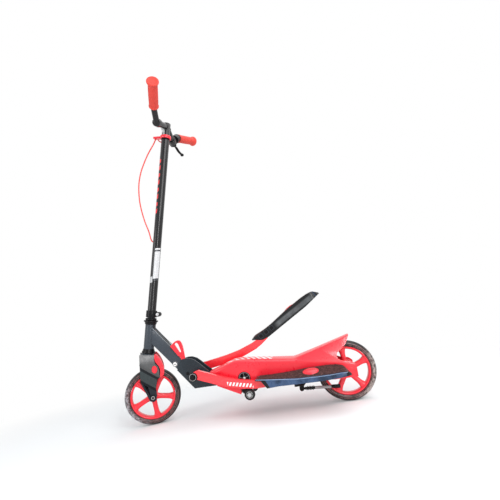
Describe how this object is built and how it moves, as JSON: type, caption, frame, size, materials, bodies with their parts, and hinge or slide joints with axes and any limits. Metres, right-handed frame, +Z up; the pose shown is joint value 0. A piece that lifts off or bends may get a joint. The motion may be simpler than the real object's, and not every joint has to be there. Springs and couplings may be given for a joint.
{
  "type": "stepper scooter",
  "caption": "Stepper scooter with rocking foot pedals that drive the rear wheel, a folding front frame, a swept handlebar with hand brake, and a red body over the rear wheel.",
  "frame": {"origin": "middle of the bounding box at ground level, under the scooter", "axes": "+Z up, -X is the way it rides, -Y is its left side, +Y is its width and its shortest extent"},
  "size_m": [0.8994, 0.5072, 1.1683],
  "materials": {
    "body_plastic": "gloss red moulded plastic",
    "wheel_plastic": "satin red moulded plastic",
    "arm_paint": "gloss red paint",
    "frame_paint": "satin slate paint",
    "stem_paint": "gloss black paint",
    "black_metal": "satin black",
    "black_plastic": "matt black",
    "cover_plastic": "speckled grey",
    "pedal_plastic": "satin blue-black",
    "tread_rubber": "matt brown-black, ribbed",
    "grip_rubber": "soft matt red",
    "tyre_rubber": "matt black",
    "roller_rubber": "satin black",
    "brake_rubber": "matt black",
    "bright_steel": "zinc plated",
    "cable_jacket": "gloss red jacket",
    "white_label": "plain white"
  },
  "bodies": {
    "rear_frame": {"main_frame": "frame_paint", "body_cover": "body_plastic", "belly_cover": "body_plastic", "plate_screw_left": "bright_steel", "pivot_bolt": "bright_steel", "pivot_nut": "bright_steel", "pivot_cap_left": "black_plastic", "pivot_cap_right": "black_plastic", "rear_axle": "bright_steel", "rear_axle_nut": "bright_steel", "roller_bracket": "black_metal", "roller_axle": "bright_steel", "drive_chain": "bright_steel", "kickstand_bracket": "black_metal"},
    "front_frame": {"head_frame": "frame_paint", "headset_lower_cup": "black_metal", "headset_upper_cup": "black_metal", "round_label": "white_label", "release_lever_bolt": "bright_steel"},
    "front_fork": {"fork": "frame_paint", "fork_cover_left": "cover_plastic", "fork_cover_right": "cover_plastic", "fork_inlay_left": "body_plastic", "fork_inlay_right": "body_plastic", "fork_badge_left": "body_plastic", "fork_badge_right": "body_plastic", "headset_locknut": "black_metal", "front_axle": "bright_steel", "front_axle_nut": "bright_steel"},
    "handlebar": {"handlebar_stem": "stem_paint", "grip_left": "grip_rubber", "grip_right": "grip_rubber", "stem_clamp": "black_metal", "clamp_bolt": "bright_steel", "brake_perch": "black_plastic", "brake_cable": "cable_jacket", "cable_clip": "body_plastic"},
    "front_wheel": {"front_tyre": "tyre_rubber", "front_rim": "wheel_plastic"},
    "rear_wheel": {"rear_tyre": "tyre_rubber", "rear_rim": "wheel_plastic"},
    "rear_drive": {"rear_sprocket": "bright_steel"},
    "front_drive": {"drive_shaft": "bright_steel", "dial_pulley_left": "black_plastic", "dial_pulley_right": "black_plastic"},
    "hand_brake": {"brake_lever": "black_metal"},
    "shoe": {"brake_shoe": "brake_rubber"},
    "fold_release": {"release_lever": "body_plastic"},
    "left_pedal": {"pedal_arm_left": "arm_paint", "pedal_left": "pedal_plastic", "tread_left": "tread_rubber", "tread_badge_left": "body_plastic"},
    "right_pedal": {"pedal_arm_right": "arm_paint", "pedal_right": "pedal_plastic", "tread_right": "tread_rubber", "tread_badge_right": "body_plastic"},
    "left_roller": {"roller_left": "roller_rubber"},
    "right_roller": {"roller_right": "roller_rubber"},
    "kickstand": {"kickstand_leg": "black_metal", "kickstand_spring": "bright_steel"}
  },
  "joints": [
    {"name": "fold", "type": "hinge", "parent": "rear_frame", "child": "front_frame", "pos_m": [-0.1703, 0, 0.159], "axis": [0, 1, 0], "range_deg": [0, 78]},
    {"name": "steer", "type": "hinge", "parent": "front_frame", "child": "front_fork", "pos_m": [-0.3384, 0, 0.3], "axis": [0.2062, 0, 0.9785], "range_deg": [-74.7, 35.3]},
    {"name": "stem_turn", "type": "hinge", "parent": "front_fork", "child": "handlebar", "pos_m": [-0.3384, 0, 0.3], "axis": [0.2062, 0, 0.9785], "range_deg": [-20, 40]},
    {"name": "front_wheel_spin", "type": "hinge", "parent": "front_fork", "child": "front_wheel", "pos_m": [-0.35237, 0.00984, 0.10035], "axis": [-0.3299, 0.9415, 0.0695], "continuous": true},
    {"name": "shoe_travel", "type": "slide", "parent": "front_fork", "child": "shoe", "axis": [-0.0118, 0.0695, -0.9975], "range_m": [0, 0.003]},
    {"name": "brake_lever_pull", "type": "hinge", "parent": "handlebar", "child": "hand_brake", "pos_m": [-0.1827, 0.122, 1.092], "axis": [0.9142, -0.2811, -0.292], "range_deg": [0, 24], "stiffness_Nm_per_rad": 0.6, "springref_deg": -20.05},
    {"name": "release_lever_pull", "type": "hinge", "parent": "front_frame", "child": "fold_release", "pos_m": [-0.2147, -0.0165, 0.206], "axis": [0, 1, 0], "range_deg": [0, 22], "stiffness_Nm_per_rad": 0.4, "springref_deg": -20.05},
    {"name": "left_pedal_swing", "type": "hinge", "parent": "rear_frame", "child": "left_pedal", "pos_m": [-0.1703, 0, 0.159], "axis": [0, -1, 0], "range_deg": [0, 29.6]},
    {"name": "right_pedal_swing", "type": "hinge", "parent": "rear_frame", "child": "right_pedal", "pos_m": [-0.1703, 0, 0.159], "axis": [0, -1, 0], "range_deg": [-29.6, 0]},
    {"name": "drive_shaft_turn", "type": "hinge", "parent": "rear_frame", "child": "front_drive", "pos_m": [0.0003, 0, 0.1275], "axis": [0, -1, 0], "range_deg": [0, 90]},
    {"name": "rear_sprocket_turn", "type": "hinge", "parent": "rear_frame", "child": "rear_drive", "pos_m": [0.3506, 0, 0.1], "axis": [0, -1, 0], "range_deg": [0, 90]},
    {"name": "rear_wheel_spin", "type": "hinge", "parent": "rear_frame", "child": "rear_wheel", "pos_m": [0.3506, 0, 0.1], "axis": [0, 1, 0], "continuous": true},
    {"name": "left_roller_spin", "type": "hinge", "parent": "rear_frame", "child": "left_roller", "pos_m": [0.0133, 0, 0.075], "axis": [0, 1, 0], "continuous": true},
    {"name": "right_roller_spin", "type": "hinge", "parent": "rear_frame", "child": "right_roller", "pos_m": [0.0133, 0, 0.075], "axis": [0, 1, 0], "continuous": true},
    {"name": "kickstand_swing", "type": "hinge", "parent": "rear_frame", "child": "kickstand", "pos_m": [0.1893, -0.04, 0.068], "axis": [-0.0521, 0.4975, -0.8659], "range_deg": [0, 70]}
  ],
  "couplings": [
    {"joint": "right_pedal_swing", "follows": "left_pedal_swing", "ratio": -1},
    {"joint": "drive_shaft_turn", "follows": "left_pedal_swing", "ratio": 3},
    {"joint": "rear_sprocket_turn", "follows": "left_pedal_swing", "ratio": 3},
    {"joint": "shoe_travel", "follows": "brake_lever_pull", "m_per_rad": 0.0071}
  ]
}
